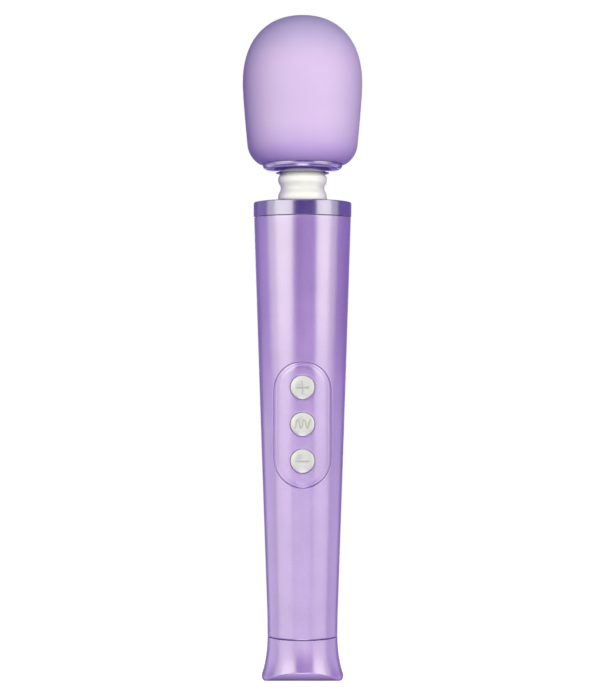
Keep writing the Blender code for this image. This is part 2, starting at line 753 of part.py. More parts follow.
def motor_pieces():
    """The motor on its mount: can with its magnets, end cap, bush and terminals."""
    bore, wall, can_foot = 1.5 * MM, 1.3 * MM, MOTOR_BOTTOM + 2.3 * MM
    can = [(MOTOR_RADIUS - 0.8 * MM, MOTOR_TOP), (MOTOR_RADIUS, MOTOR_TOP - 0.8 * MM)]
    can += [(MOTOR_RADIUS, can_foot), (MOTOR_RADIUS - wall, can_foot)]
    can += [(MOTOR_RADIUS - wall, MOTOR_TOP - wall), (bore, MOTOR_TOP - wall), (bore, MOTOR_TOP)]
    pieces = [turned("motor_can", can, STEEL, MEDIUM, closed=True)]
    pieces.append(sleeve("motor_magnets", MOTOR_RADIUS - wall - GAP, 8.9 * MM, *CORE, DARK_PLASTIC))
    cap_centre = (0, 0, MOTOR_BOTTOM + 1 * MM)
    cap = rod("motor_end_cap", MOTOR_RADIUS - 0.2 * MM, 2 * MM, cap_centre, DARK_PLASTIC, sides=MEDIUM)
    pieces.append(cap)
    pieces.append(sleeve("motor_bush", 2.7 * MM, bore, 232.8 * MM, 234.3 * MM, BRASS))
    for side, name in ((1, "red"), (-1, "black")):
        centre = (side * 5.6 * MM, 0, 204.2 * MM)
        pieces.append(block(f"motor_terminal_{name}", (2.2 * MM, 0.6 * MM, 1.8 * MM), centre, BRASS))
    return pieces


def sleeve(name, outer, inner, bottom, top, finish):
    """A plain ring between two radii and two heights."""
    outline = [(outer, top), (outer, bottom), (inner, bottom), (inner, top)]
    return turned(name, outline, finish, MEDIUM, closed=True)


def head_screws(base, mount):
    """Three screws up through the head base into the motor mount."""
    screws = []
    for number in range(1, 4):
        angle = math.radians(90 + 120 * number)
        x, y = 11.2 * MM * math.cos(angle), 11.2 * MM * math.sin(angle)
        hole = rod(f"head_screw_hole_{number}", 1.3 * MM, 8 * MM, (x, y, 202 * MM), sides=12)
        cut(base, hole)
        cut(mount, hole)
        seat, head, shank = (x, y, 199.5 * MM), (1.8 * MM, 1.4 * MM), (1.0 * MM, 5.3 * MM)
        screws.append(screw(f"head_screw_{number}", head, shank, seat, STEEL))
    return screws


def rotor():
    """What the motor turns: its armature and shaft with the eccentric weight."""
    shaft = rod("motor_shaft", SHAFT_RADIUS, 37.5 * MM, (0, 0, 227.75 * MM), STEEL)
    armature = sleeve("motor_armature", 8.4 * MM, SHAFT_RADIUS + GAP, *CORE, BRASS)
    outline = arc(9.0 * MM, 190, 350, 13) + arc(3.4 * MM, 355, 545, 12)
    weight = slab("eccentric_weight", outline, 8 * MM, BRASS)
    weight.location.z = 240.6 * MM
    cut(weight, rod("weight_bore", SHAFT_RADIUS + GAP, 12 * MM, (0, 0, 240.6 * MM)))
    cut(weight, rod("set_screw_hole", 1.2 * MM, 6 * MM, (0, 4 * MM, 240.6 * MM), None, "Y", 12))
    set_screw = rod("weight_set_screw", 0.9 * MM, 1.8 * MM, (0, 2.5 * MM, 240.6 * MM), STEEL, "Y", 12)
    return [shaft, armature, weight, set_screw]


def head():
    base, mount = head_base(), motor_mount()
    pieces = [base, mount, head_cover(), head_shell(), head_collar()]
    pieces += motor_pieces() + head_screws(base, mount) + rotor()
    hang_on(empty_at("neck_pivot", PIVOT), *pieces)


tail_cap()
tail_seal()
charging()
battery()
barrel()
shoulder_ring()
controls()
main_board()
inner_frame()
handle_leads()
neck_socket()
neck_spring()
neck_bellows()
motor_leads()
head()
shade_round()
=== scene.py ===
"""Looks of the handheld wand massager: fine outer skins, materials, studio light and camera.

Lengths are in metres, +Z runs up the wand and the buttons face -Y, as in the CAD frame.
"""

import json
import math

import bmesh
import bpy
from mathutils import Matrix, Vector

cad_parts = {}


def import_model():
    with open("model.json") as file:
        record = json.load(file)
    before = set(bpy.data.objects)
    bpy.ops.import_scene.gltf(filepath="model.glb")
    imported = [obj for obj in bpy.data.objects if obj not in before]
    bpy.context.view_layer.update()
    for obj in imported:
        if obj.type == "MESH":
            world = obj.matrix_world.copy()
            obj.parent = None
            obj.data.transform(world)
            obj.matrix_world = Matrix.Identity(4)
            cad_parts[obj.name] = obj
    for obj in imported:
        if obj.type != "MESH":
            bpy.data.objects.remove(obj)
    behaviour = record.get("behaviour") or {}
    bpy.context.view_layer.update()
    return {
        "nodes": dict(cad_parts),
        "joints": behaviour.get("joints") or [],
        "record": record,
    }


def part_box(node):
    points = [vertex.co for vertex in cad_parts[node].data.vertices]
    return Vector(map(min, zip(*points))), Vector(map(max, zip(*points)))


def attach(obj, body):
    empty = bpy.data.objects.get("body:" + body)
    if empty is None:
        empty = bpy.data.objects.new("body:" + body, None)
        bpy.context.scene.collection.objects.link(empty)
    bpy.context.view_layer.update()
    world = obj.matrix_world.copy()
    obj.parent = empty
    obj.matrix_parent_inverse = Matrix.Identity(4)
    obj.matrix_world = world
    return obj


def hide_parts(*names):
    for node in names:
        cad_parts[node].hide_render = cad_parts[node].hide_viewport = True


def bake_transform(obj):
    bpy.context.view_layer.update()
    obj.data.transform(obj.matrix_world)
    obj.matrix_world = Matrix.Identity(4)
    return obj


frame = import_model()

MM = 0.001

# Sizes read from the frame


def radius_of(node):
    """The node's reach along +X, which is its radius where it is turned about the wand's axis."""
    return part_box(node)[1].x


def foot_of(node):
    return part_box(node)[0].z


def top_of(node):
    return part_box(node)[1].z


JOINTS = {joint["name"]: joint for joint in frame["joints"]}
PIVOT = Vector(JOINTS["neck_pitch"]["pos_m"])
CROWN = top_of("head_cover")
HEAD_RADIUS = radius_of("head_cover")
HEAD_BOTTOM = foot_of("head_cover")
COLLAR_RADIUS = radius_of("head_collar")
COLLAR_BOTTOM, COLLAR_TOP = foot_of("head_collar"), top_of("head_collar")
RING_RADIUS = radius_of("shoulder_ring")
RING_BOTTOM, RING_TOP = foot_of("shoulder_ring"), top_of("shoulder_ring")
BARREL_BOTTOM, BARREL_TOP = foot_of("barrel"), top_of("barrel")
TAIL_RADIUS = radius_of("tail_cap")
PANEL_CENTRE = (foot_of("control_panel") + top_of("control_panel")) / 2
PANEL_RADIUS = radius_of("control_panel") + 0.16 * MM  # of its round ends
PANEL_REACH = (top_of("control_panel") - foot_of("control_panel")) / 2 - radius_of("control_panel")
BUTTON_HEIGHTS = {
    name: (foot_of(f"button_{name}") + top_of(f"button_{name}")) / 2
    for name in ("plus", "mode", "minus")
}

# Sizes that a box doesn't give
HEAD_WIDEST = 227.6 * MM  # the height of the head's widest ring
HEAD_FOOT = 204.7 * MM  # where the head's side turns into its rounded corner
HEAD_FOOT_RADIUS = 21.1 * MM
CORNER_WIDTH = 6.0 * MM  # the rounded corner between the head's side and its underside
CORNER_POWER = 1.7
DOME_POWER = 2.3  # 2 would make the dome an ellipse, and more makes it squarer
SKIRT_POWER = 1.3
COVER_WALL = 3.0 * MM
BARREL_FOOT_RADIUS = 13.43 * MM
BARREL_STRAIGHT_TO = 18.0 * MM
BARREL_BLEND = 10.0 * MM
BARREL_TAPER = 0.0358  # gain in radius for each metre up
BARREL_EASING = 0.0144  # how much the taper slackens with each metre up
BARREL_WALL = 2.0 * MM
WINDOW_REACH = 29.0 * MM  # how far the barrel skin round the panel runs above and below its middle
PANEL_PROUD = 0.25 * MM
PANEL_DEPTH = 0.9 * MM
PANEL_SHOULDER = 1.25 * MM  # width of the panel's bevelled edge
TAIL_TOP = 16.6 * MM
TAIL_NECK = 13.46 * MM
FLARE_FROM = 1.8 * MM  # below this height the flare rounds in to the tail's edge
FLARE_POWER = 2.2
LAND = 4.0 * MM  # half the depth of the level strip that the wand stands on
ARCH_RISE = 5.0 * MM
ARCH_POWER = 1.3
EDGE_INSET = 0.9 * MM  # how far the tail's edge is rounded in
JACK_HOLE = 3.7 * MM
BUTTON_RADIUS = 4.55 * MM
BUTTON_RISE = 0.95 * MM  # of the key's crown over the panel
STROKE_REACH = 0.44 * MM  # half the width of the signs engraved on the keys
STROKE_DEPTH = 0.18 * MM
KEY_CROWN = 0.85 * MM  # how far a key's middle stands over its rim
KEY_ROUNDING = 0.45 * MM  # width of the rounded edge round a key's face

MERGE = 0.0000005  # points closer than this become one
SAME = 0.000001  # lengths closer than this count as equal
WHITE = (1, 1, 1)
CELL_STRAIGHT, CELL_SIDE, CELL_END = 32, 18, 72  # steps along a panel cell's cuts, sides and round end
AROUND = 144  # sides of the large round skins
SIGN_LAYER = "sign"  # the mesh attribute that is 1 at the bottom of a key's engraved sign


# Mesh helpers


def new_object(name, bm, body):
    """A smooth object from the mesh, riding on the body if one is named."""
    bmesh.ops.remove_doubles(bm, verts=bm.verts, dist=MERGE)
    bmesh.ops.recalc_face_normals(bm, faces=bm.faces)
    mesh = bpy.data.meshes.new(name)
    bm.to_mesh(mesh)
    bm.free()
    mesh.shade_smooth()
    obj = bpy.data.objects.new(name, mesh)
    bpy.context.scene.collection.objects.link(obj)
    if body:
        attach(obj, body)
    return obj


def add_skin(bm, rings, wrap=True):
    """Quads from each ring of points to the next one; a ring of one point closes an end."""
    made = [[bm.verts.new(point) for point in ring] for ring in rings]
    for a, b in zip(made, made[1:]):
        count = max(len(a), len(b))
        for i in range(count if wrap else count - 1):
            j = (i + 1) % count
            corners = [a[i % len(a)], a[j % len(a)], b[j % len(b)], b[i % len(b)]]
            corners = [v for k, v in enumerate(corners) if v is not corners[k - 1]]
            if len(corners) > 2:
                bm.faces.new(corners)


def circle(radius, height, count=AROUND):
    """A ring about Z, or a single point on the axis. Angles are measured from the front."""
    if radius < MERGE:
        return [(0, 0, height)]
    angles = [2 * math.pi * i / count for i in range(count)]
    return [(radius * math.sin(a), -radius * math.cos(a), height) for a in angles]


def lathe(name, outline, body, closed=False, count=AROUND):
    """A turned piece from (radius, height) points, with its normals led by the larger faces."""
    bm = bmesh.new()
    rings = [circle(radius, height, count) for radius, height in outline]
    add_skin(bm, rings + rings[:1] if closed else rings)
    obj = new_object(name, bm, body)
    obj.modifiers.new("Even_normals", "WEIGHTED_NORMAL").keep_sharp = True
    return obj


def filleted(corners, steps=6):
    """A closed outline whose corners (radius, height, set-back) are rounded off."""
    points = []
    for i, (x, z, back) in enumerate(corners):
        here = Vector((x, z))
        before, after = Vector(corners[i - 1][:2]), Vector(corners[(i + 1) % len(corners)][:2])
        a = here + (before - here).normalized() * back
        b = here + (after - here).normalized() * back
        points += bezier(a, here, b, steps) if back else [here]
    return [tuple(point) for point in points]


def bezier(a, corner, b, steps):
    """Points of the curve that leaves a and reaches b, bending round the corner between them."""
    shares = [k / steps for k in range(steps + 1)]
    return [a * (1 - t) ** 2 + corner * (2 * t * (1 - t)) + b * t**2 for t in shares]


def spread(start, end, count):
    """Evenly spaced values from start to end, in this many steps."""
    return [start + (end - start) * i / count for i in range(count + 1)]


# Forms that the skins follow


def barrel_radius(height):
    """Straight at the foot, then a taper that eases in and slackens upwards."""
    rise = max(0.0, height - BARREL_STRAIGHT_TO)
    run = rise * rise / (2 * BARREL_BLEND) if rise < BARREL_BLEND else rise - BARREL_BLEND / 2
    return BARREL_FOOT_RADIUS + (BARREL_TAPER - BARREL_EASING * run) * run


def on_barrel(x, z, depth):
    """The point straight in front of (x, z), this far under the barrel's surface."""
    radius = barrel_radius(z) - depth
    return (x, -math.sqrt(max(radius * radius - x * x, 0.0)), z)


def dome(inset, count):
    """The head from its crown down to its widest ring, as (radius, height) points."""
    rise = CROWN - HEAD_WIDEST - inset
    points = []
    for angle in spread(math.pi / 2, 0.0, count):
        radius = (HEAD_RADIUS - inset) * max(math.cos(angle), 0.0) ** (2 / DOME_POWER)
        height = HEAD_WIDEST + rise * math.sin(angle) ** (2 / DOME_POWER)
        points.append((radius if angle < math.pi / 2 else 0.0, height))
    return points


def skirt(inset, bottom, count):
    """The head's side from its widest ring in to the bottom."""
    points = []
    for height in spread(HEAD_WIDEST, bottom, count)[1:]:
        share = (HEAD_WIDEST - height) / (HEAD_WIDEST - HEAD_FOOT)
        points.append((HEAD_RADIUS - inset - (HEAD_RADIUS - HEAD_FOOT_RADIUS) * share**SKIRT_POWER, height))
    return points


def head_corner(count):
    """The rounded corner from the skirt's foot in to the underside."""
    points = []
    for angle in spread(0.0, math.pi / 2, count)[1:]:
        inward = 1 - max(math.cos(angle), 0.0) ** (2 / CORNER_POWER)
        drop = math.sin(angle) ** (2 / CORNER_POWER)
        height = HEAD_FOOT - (HEAD_FOOT - HEAD_BOTTOM) * drop
        points.append((HEAD_FOOT_RADIUS - CORNER_WIDTH * inward, height))
    return points


# Materials


def node_of(tree, kind, inputs=None, **settings):
    """A new shader node with its input values and its settings."""
    node = tree.nodes.new("ShaderNode" + kind)
    for name, value in settings.items():
        setattr(node, name, value)
    for name, value in (inputs or {}).items():
        node.inputs[name].default_value = value
    return node


def rgba(colour):
    return (*colour, 1)


def finish_material(
    name, shades, grain, blotch, roughness, bump=0.0, stretch=(1, 1, 1), engraved=None, **shader
):
    """A finish of two close shades that drift over the surface, with a fine grain in roughness and relief.

    grain and blotch are how many times a metre the two patterns repeat, and bump is the relief's height.
    engraved is the shade that the surface takes where SIGN_LAYER is 1. Other names set the shader's inputs.
    """
    material = bpy.data.materials.new(name)
    material.use_nodes = True
    tree = material.node_tree
    bsdf = tree.nodes["Principled BSDF"]
    link = tree.links.new
    place = node_of(tree, "TexCoord").outputs["Object"]
    scaled = node_of(tree, "Mapping", {"Scale": stretch})
    link(place, scaled.inputs["Vector"])
    drift = node_of(tree, "TexNoise", {"Scale": blotch, "Detail": 2.0})
    link(place, drift.inputs["Vector"])
    fine = node_of(tree, "TexNoise", {"Scale": grain, "Detail": 3.0, "Roughness": 0.6})
    link(scaled.outputs["Vector"], fine.inputs["Vector"])
    blend = node_of(tree, "Math", {1: 0.5}, operation="MULTIPLY")
    both = node_of(tree, "Math", operation="ADD")
    link(drift.outputs["Fac"], both.inputs[0])
    link(fine.outputs["Fac"], both.inputs[1])
    link(both.outputs[0], blend.inputs[0])
    ramp = node_of(tree, "ValToRGB")
    ramp.color_ramp.elements[0].position, ramp.color_ramp.elements[1].position = 0.35, 0.65
    ramp.color_ramp.elements[0].color = rgba(shades[0])
    ramp.color_ramp.elements[1].color = rgba(shades[1])
    link(blend.outputs[0], ramp.inputs["Fac"])
    colour = ramp.outputs["Color"]
    if engraved:
        sign = node_of(tree, "Attribute", attribute_name=SIGN_LAYER)
        ink = node_of(tree, "MixRGB", {"Color2": rgba(engraved)})
        link(sign.outputs["Fac"], ink.inputs["Fac"])
        link(colour, ink.inputs["Color1"])
        colour = ink.outputs["Color"]
    link(colour, bsdf.inputs["Base Color"])
    span = {"From Min": 0.3, "From Max": 0.7, "To Min": roughness[0], "To Max": roughness[1]}
    rough = node_of(tree, "MapRange", span)
    link(fine.outputs["Fac"], rough.inputs["Value"])
    link(rough.outputs["Result"], bsdf.inputs["Roughness"])
    if bump:
        relief = node_of(tree, "Bump", {"Strength": 1.0, "Distance": bump})
        link(fine.outputs["Fac"], relief.inputs["Height"])
        link(relief.outputs["Normal"], bsdf.inputs["Normal"])
    for socket, value in shader.items():
        bsdf.inputs[socket.replace("_", " ").title().replace("Ior", "IOR")].default_value = value
    return material


MATTE_SILICONE = finish_material(
    "matte_lilac_silicone", ((0.592, 0.455, 0.708), (0.622, 0.480, 0.733)),
    grain=2600, blotch=45, roughness=(0.52, 0.62), bump=0.000012, specular_ior_level=0.35,
    subsurface_weight=0.15, subsurface_radius=(0.006, 0.004, 0.007), subsurface_scale=0.3,
)
WHITE_SILICONE = finish_material(
    "white_silicone", ((0.74, 0.745, 0.71), (0.78, 0.785, 0.75)),
    grain=2200, blotch=80, roughness=(0.55, 0.65), bump=0.000008,
    subsurface_weight=0.3, subsurface_radius=(0.005, 0.005, 0.005), subsurface_scale=1.0,
    coat_weight=1.0, coat_roughness=0.55, coat_ior=1.8,
)
SATIN_LILAC = finish_material(
    "satin_lilac_pearl", ((0.185, 0.082, 0.370), (0.270, 0.130, 0.465)),
    grain=3600, blotch=50, roughness=(0.55, 0.63), bump=0.000004, metallic=0.40, ior=1.6,
    coat_weight=1.0, coat_roughness=0.26, coat_ior=2.5,
)
# A matt copy of the lilac for the tail's underside. The matt finish is real; its lighter colour is painted
# light that stands in for light the underside doesn't get.
MATT_LILAC_PAINTED_LIGHT = finish_material(
    "matt_lilac_painted_light", ((0.500, 0.350, 0.690), (0.540, 0.380, 0.730)),
    grain=6000, blotch=50, roughness=(0.60, 0.70), bump=0.000004, specular_ior_level=0.1,
)
VIOLET_METAL = finish_material(
    "brushed_violet_metal", ((0.046, 0.015, 0.230), (0.056, 0.020, 0.260)),
    grain=900, blotch=90, roughness=(0.22, 0.27), bump=0.000001, stretch=(1, 1, 14),
    metallic=0.25, ior=2.6, specular_tint=(1.0, 0.90, 0.98, 1),
    coat_weight=0.7, coat_roughness=0.19, coat_ior=2.1,
)
PEARL = finish_material(
    "silver_pearl", ((0.49, 0.495, 0.485), (0.56, 0.565, 0.555)),
    grain=7000, blotch=200, roughness=(0.26, 0.36), bump=0.000002, engraved=(0.355, 0.37, 0.345),
    metallic=0.15, coat_weight=1.0, coat_roughness=0.20,
)


def paint_shade_towards(material, full, none, shade_colour):
    """Paints shade into a material's colour, wholly at the one height and not at all from the other one on.
    """
    tree = material.node_tree
    bsdf = tree.nodes["Principled BSDF"]
    place = node_of(tree, "SeparateXYZ")
    tree.links.new(node_of(tree, "TexCoord").outputs["Object"], place.inputs[0])
    fall = node_of(tree, "MapRange", {"From Min": full, "From Max": none, "To Min": 1.0, "To Max": 0.0})
    fall.interpolation_type = "SMOOTHSTEP"
    tree.links.new(place.outputs["Z"], fall.inputs["Value"])
    deeper = node_of(tree, "MixRGB", {"Color2": rgba(shade_colour)}, blend_type="MULTIPLY")
    tree.links.new(fall.outputs["Result"], deeper.inputs["Fac"])
    tree.links.new(bsdf.inputs["Base Color"].links[0].from_socket, deeper.inputs["Color1"])
    tree.links.new(deeper.outputs["Color"], bsdf.inputs["Base Color"])


# Tints that stand in for soft shading: under the tail, at the head's foot and on its crown
paint_shade_towards(MATT_LILAC_PAINTED_LIGHT, -0.5 * MM, ARCH_RISE, (0.16, 0.16, 0.19))
paint_shade_towards(MATTE_SILICONE, HEAD_BOTTOM - 1.0 * MM, HEAD_FOOT + 8.0 * MM, (0.68, 0.60, 0.86))
paint_shade_towards(MATTE_SILICONE, CROWN + 1.0 * MM, CROWN - 22.0 * MM, (0.72, 0.84, 0.86))

INSIDE = {  # slot: darker shade, lighter shade, roughness, metallic
    "white_plastic": ((0.78, 0.78, 0.76), (0.84, 0.84, 0.82), 0.45, 0.0),
    "grey_plastic": ((0.32, 0.32, 0.33), (0.36, 0.36, 0.37), 0.5, 0.0),
    "dark_plastic": ((0.020, 0.020, 0.024), (0.035, 0.035, 0.040), 0.5, 0.0),
    "steel": ((0.50, 0.50, 0.52), (0.58, 0.58, 0.60), 0.3, 1.0),
    "brass": ((0.60, 0.40, 0.14), (0.68, 0.47, 0.18), 0.3, 1.0),
    "nickel": ((0.58, 0.56, 0.50), (0.64, 0.62, 0.56), 0.3, 1.0),
    "circuit_board": ((0.010, 0.085, 0.030), (0.014, 0.110, 0.040), 0.4, 0.0),
    "black_rubber": ((0.014, 0.014, 0.014), (0.022, 0.022, 0.022), 0.65, 0.0),
    "cell_wrap": ((0.02, 0.07, 0.25), (0.025, 0.085, 0.29), 0.35, 0.0),
    "red_wire": ((0.42, 0.012, 0.012), (0.48, 0.016, 0.016), 0.42, 0.0),
    "black_wire": ((0.010, 0.010, 0.010), (0.018, 0.018, 0.018), 0.42, 0.0),
}
FINISHES = {
    name: finish_material(
        name, (dark, light), grain=1500, blotch=120,
        roughness=(rough - 0.05, rough + 0.05), bump=0.000005, metallic=metal,
    )
    for name, (dark, light, rough, metal) in INSIDE.items()
}
FINISHES.update(
    silicone_lilac=MATTE_SILICONE, silicone_white=WHITE_SILICONE, satin_lilac=SATIN_LILAC,
    violet_metal=VIOLET_METAL, pearl=PEARL,
)


def dressed(obj, material, slot, *nodes):
    """Gives a fine skin its material and hides the CAD nodes that it stands for."""
    obj.data.materials.clear()
    obj.data.materials.append(material)
    if nodes:
        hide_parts(*nodes)


def dress_cad_nodes():
    """Gives every CAD node the finish that its record row names."""
    for row in frame["record"]["subparts"]:
        node = frame["nodes"][row["node"]]
        for slot in node.material_slots:
            slot.material = FINISHES[row["material_slot"]]


# Head


def head_cover():
    """The silicone skin: its outside down to the lip round the collar, and back up its inside."""
    lip = COLLAR_RADIUS + 0.12 * MM
    mouth = 16.7 * MM
    corner = [(r, z) for r, z in head_corner(26) if r > lip + 0.25 * MM]
    outline = dome(0.0, 48) + skirt(0.0, HEAD_FOOT, 14) + corner
    outline += [(lip + 0.05 * MM, HEAD_BOTTOM + 0.2 * MM), (lip, HEAD_BOTTOM + 0.5 * MM)]
    outline += [(lip, COLLAR_TOP), (mouth, COLLAR_TOP), (mouth + 1.0 * MM, COLLAR_TOP + 2.9 * MM)]
    outline += list(reversed(dome(COVER_WALL, 20) + skirt(COVER_WALL, HEAD_FOOT, 4)))
    skin = lathe("head_skin", outline, "head")
    dressed(skin, MATTE_SILICONE, "silicone_lilac", "head_cover")


def head_collar():
    """The trim under the head, as (radius, height, rounding) corners."""
    bottom = COLLAR_BOTTOM
    outline = [
        (13.6 * MM, COLLAR_TOP, 0),
        (COLLAR_RADIUS, COLLAR_TOP, 0),
        (COLLAR_RADIUS, bottom + 2.3 * MM, 1.2 * MM),
        (14.2 * MM, bottom + 0.9 * MM, 0.8 * MM),
        (12.4 * MM, bottom, 0.9 * MM),
        (10.7 * MM, bottom, 0.4 * MM),
        (10.2 * MM, bottom + 0.5 * MM, 0.2 * MM),
        (10.2 * MM, bottom + 1.6 * MM, 0.2 * MM),
        (13.1 * MM, bottom + 3.4 * MM, 0),
    ]
    trim = lathe("head_trim", filleted(outline), "head", closed=True)
    dressed(trim, VIOLET_METAL, "violet_metal", "head_collar")


# Neck


def bellows_radius(height):
    """Two full bulges that meet at the waist, with straight cuffs beyond them."""
    offset = abs(height - PIVOT.z)
    bulge, waist, cuff = 9.35 * MM, 8.3 * MM, 8.0 * MM
    peak, slope = 3.8 * MM, 2.4 * MM
    crease_power = 4.2
    if offset < peak:
        share = offset / peak
        return bulge - (bulge - waist) * (1 - share * share) ** crease_power
    fall = min((offset - peak) / slope, 1.0)
    return bulge - (bulge - cuff) * (1 - math.cos(math.pi * fall)) / 2


def bellows():
    """The sleeve in two halves that meet at its waist."""
    foot, top = foot_of("neck_bellows"), top_of("neck_bellows")
    bore = 6.9 * MM
    halves = {
        "neck_sleeve_lower": (foot, PIVOT.z, "handle", "neck_link"),
        "neck_sleeve_upper": (PIVOT.z, top, "neck_link", "head"),
    }
    for name, (low, high, below, above) in halves.items():
        heights = spread(high, low, 36)
        outline = [(bellows_radius(h), h) for h in heights] + [(bore, h) for h in reversed(heights)]
        half = lathe(name, outline, None, closed=True, count=96)
        half.data.set_sharp_from_angle(angle=math.radians(50))
        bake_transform(half)
        dressed(half, WHITE_SILICONE, "silicone_white", *(["neck_bellows"] if high == PIVOT.z else []))


# Handle


def shoulder_ring():
    """The band round the top of the handle."""
    bore = 16.1 * MM
    outline = [
        (RING_RADIUS, RING_TOP, 0.55 * MM),
        (RING_RADIUS, RING_BOTTOM, 0.06 * MM),
        (bore, RING_BOTTOM, 0),
        (bore, RING_TOP, 0.2 * MM),
    ]
    band = lathe("shoulder_band", filleted(outline), "handle", closed=True)
    dressed(band, VIOLET_METAL, "violet_metal", "shoulder_ring")


def stadium_point(x, z, inset):
    """The point of the pill-shaped outline, this far inside it, that lies nearest to (x, z)."""
    middle = PANEL_CENTRE + max(-PANEL_REACH, min(PANEL_REACH, z - PANEL_CENTRE))
    away = Vector((x, z - middle)).normalized()
    return away.x * (PANEL_RADIUS - inset), middle + away.y * (PANEL_RADIUS - inset)


def window_rim(depth, half_sides, low, high, rows):
    """The (x, z) points round the rectangle of barrel skin that holds the panel's opening."""
    angles = [2 * math.pi * i / AROUND for i in range(-half_sides, half_sides + 1)]
    heights = spread(low, high, rows)
    rim = [(angle, low) for angle in angles[:-1]]
    rim += [(angles[-1], height) for height in heights[:-1]]
    rim += [(angle, high) for angle in reversed(angles[1:])]
    rim += [(angles[0], height) for height in reversed(heights[1:])]
    return [((barrel_radius(h) - depth) * math.sin(a), h) for a, h in rim]


def barrel():
    """The handle's shell as one closed skin, its opening stepped to seat the control panel.

    steps are the opening's insets from the panel's outline and its depths under the surface, in mm.
    foot and top are the shell's rounded ends, as depths under the surface and rises over the end.
    """
    half_sides, rows = 24, 48
    low, high = PANEL_CENTRE - WINDOW_REACH, PANEL_CENTRE + WINDOW_REACH
    bm = bmesh.new()
    for depth in (0.0, BARREL_WALL):
        below = spread(BARREL_BOTTOM + 0.3 * MM, low, 24)
        above = spread(high, BARREL_TOP - 0.15 * MM, 16)
        for heights in (below, above):
            add_skin(bm, [circle(barrel_radius(h) - depth, h) for h in heights])
        heights = spread(low, high, rows)
        sides = [i for i in range(AROUND + 1) if half_sides <= i <= AROUND - half_sides]
        strips = [[circle(barrel_radius(h) - depth, h)[i % AROUND] for i in sides] for h in heights]
        add_skin(bm, strips, wrap=False)
    steps = [(-1.5, 0), (-1.0, 0), (-0.6, 0), (-0.4, 0), (-0.26, 0.015), (-0.18, 0.06), (-0.14, 0.14)]
    steps += [(-0.14, 0.24), (-0.03, 0.28), (-0.03, 1.2), (1.7, 1.2), (1.7, 2.0), (0.0, 2.0), (-1.5, 2.0)]
    outer = window_rim(0.0, half_sides, low, high, rows)
    inner = window_rim(BARREL_WALL, half_sides, low, high, rows)
    rings = []
    for share in (0.0, 0.25, 0.5, 0.75):
        near = [Vector(stadium_point(x, z, steps[0][0] * MM)) for x, z in outer]
        rings.append([on_barrel(*Vector(point).lerp(goal, share), 0.0) for point, goal in zip(outer, near)])
    for inset, depth in steps:
        rings.append([on_barrel(*stadium_point(x, z, inset * MM), depth * MM) for x, z in outer])
    rings.append([on_barrel(x, z, BARREL_WALL) for x, z in inner])
    add_skin(bm, rings)
    foot = [(0.0, 0.3), (0.02, -0.06), (0.12, -0.15), (1.8, -0.15), (2.0, 0.3)]
    top = [(0.0, -0.15), (0.03, 0.06), (0.1, 0.12), (1.9, 0.12), (2.0, -0.15)]
    for end, lip in ((BARREL_BOTTOM, foot), (BARREL_TOP, top)):
        heights = [end + up * MM for _, up in lip]
        add_skin(bm, [circle(barrel_radius(h) - depth * MM, h) for h, (depth, _) in zip(heights, lip)])
    shell = new_object("handle_shell", bm, "handle")
    dressed(shell, SATIN_LILAC, "satin_lilac", "barrel")


def ray_to_rim(start_z, direction, inset, low, high):
    """How far along a ray from (0, start_z) the panel's inset outline, or a height, is met."""
    near, far = 0.0, 60 * MM
    for _ in range(44):
        reach = (near + far) / 2
        x, z = direction[0] * reach, start_z + direction[1] * reach
        middle = PANEL_CENTRE + max(-PANEL_REACH, min(PANEL_REACH, z - PANEL_CENTRE))
        inside = math.hypot(x, z - middle) < PANEL_RADIUS - inset and low < z < high
        near, far = (reach, far) if inside else (near, reach)
    return near


def panel_cell(bm, centre, low, high, half_pitch):
    """One key's share of the panel, with its round hole. Returns the points on the panel's own edge."""
    corner = math.atan2(half_pitch, PANEL_RADIUS - PANEL_SHOULDER)
    if math.isfinite(low) and math.isfinite(high):
        turns = spread(-corner, corner, CELL_SIDE)[:-1]
        turns += spread(corner, math.pi - corner, CELL_STRAIGHT)[:-1]
        turns += spread(math.pi - corner, math.pi + corner, CELL_SIDE)[:-1]
        turns += spread(math.pi + corner, 2 * math.pi - corner, CELL_STRAIGHT)[:-1]
    else:
        turns = spread(-corner, math.pi + corner, CELL_END)[:-1]
        turns += spread(math.pi + corner, 2 * math.pi - corner, CELL_STRAIGHT)[:-1]
        turns = turns if math.isfinite(low) else [-a for a in turns]
    ways = [(math.cos(a), math.sin(a)) for a in turns]
    reaches = [ray_to_rim(centre, way, PANEL_SHOULDER, low, high) for way in ways]
    rim = [(way[0] * reach, centre + way[1] * reach) for way, reach in zip(ways, reaches)]
    hole, sleeve = BUTTON_RADIUS + 0.09 * MM, BUTTON_RADIUS + 0.04 * MM
    margin = hole + 0.3 * MM

    def at_radius(radius, depth):
        return [on_barrel(way[0] * radius, centre + way[1] * radius, depth) for way in ways]

    def between(share, depth):
        points = []
        for way, (x, z) in zip(ways, rim):
            start = Vector((way[0] * margin, centre + way[1] * margin))
            points.append(on_barrel(*start.lerp(Vector((x, z)), share), depth))
        return points

    def on_edge(x, z):
        return abs(z - low) > SAME and abs(z - high) > SAME

    under = []
    for x, z in rim:
        at_corner = abs(abs(x) - (PANEL_RADIUS - PANEL_SHOULDER)) < SAME
        moved = stadium_point(x, z, 0.0) if on_edge(x, z) or at_corner else (x, z)
        under.append(on_barrel(*moved, PANEL_DEPTH))
    face = -PANEL_PROUD
    rings = [under, at_radius(sleeve, PANEL_DEPTH), at_radius(sleeve, face + 0.26 * MM)]
    rings += [at_radius(hole, face + 0.22 * MM), at_radius(hole, face + 0.14 * MM)]
    rings += [at_radius(hole + 0.03 * MM, face + 0.08 * MM), at_radius(hole + 0.12 * MM, face + 0.015 * MM)]
    rings += [between(share, face) for share in (0.0, 0.3, 0.65, 1.0)]
    add_skin(bm, rings)
    return rim


